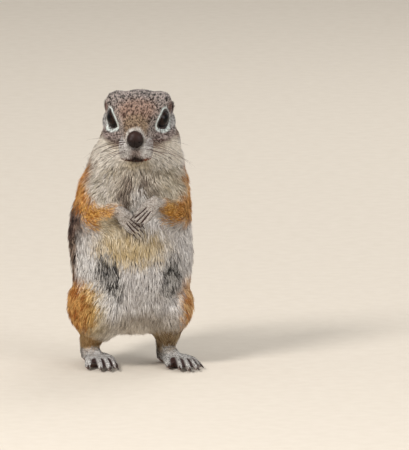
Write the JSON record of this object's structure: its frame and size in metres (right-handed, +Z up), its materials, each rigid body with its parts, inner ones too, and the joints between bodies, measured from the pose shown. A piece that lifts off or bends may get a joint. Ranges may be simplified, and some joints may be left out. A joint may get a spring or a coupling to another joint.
{
  "type": "antelope ground squirrel",
  "caption": "Life-size antelope ground squirrel standing upright on its hind feet, forepaws clasped at the chest and tail carried up behind the back, as a still model.",
  "frame": {"origin": "middle of the bounding box, on the floor that the soles stand on", "axes": "+Z up, the head looks along -Y, the animal's own left side is +X"},
  "size_m": [0.0592, 0.0696, 0.1197],
  "materials": {
    "coat": "short soft fur: grizzled brown back and crown, rust shoulders and thighs, white side stripe, throat and belly, over hidden skin",
    "eye": "wet, glossy, near-black eyeball",
    "nose": "bare, finely pebbled, slightly moist dark brown skin",
    "claw": "dark, satin claw horn"
  },
  "bodies": {
    "root": {"ear_left": "coat", "ear_right": "coat", "eye_left": "eye", "eye_right": "eye", "foot_left": "coat", "foot_right": "coat", "fore_claw_left_2": "claw", "fore_claw_left_3": "claw", "fore_claw_left_4": "claw", "fore_claw_left_5": "claw", "fore_claw_right_2": "claw", "fore_claw_right_3": "claw", "fore_claw_right_4": "claw", "fore_claw_right_5": "claw", "forearm_left": "coat", "forearm_right": "coat", "hand_left": "coat", "hand_right": "coat", "head": "coat", "hind_claw_left_1": "claw", "hind_claw_left_2": "claw", "hind_claw_left_3": "claw", "hind_claw_left_4": "claw", "hind_claw_left_5": "claw", "hind_claw_right_1": "claw", "hind_claw_right_2": "claw", "hind_claw_right_3": "claw", "hind_claw_right_4": "claw", "hind_claw_right_5": "claw", "neck": "coat", "nose": "nose", "shank_left": "coat", "shank_right": "coat", "tail_base": "coat", "tail_middle": "coat", "tail_tip": "coat", "thigh_left": "coat", "thigh_right": "coat", "trunk": "coat", "upper_arm_left": "coat", "upper_arm_right": "coat"}
  },
  "joints": []
}
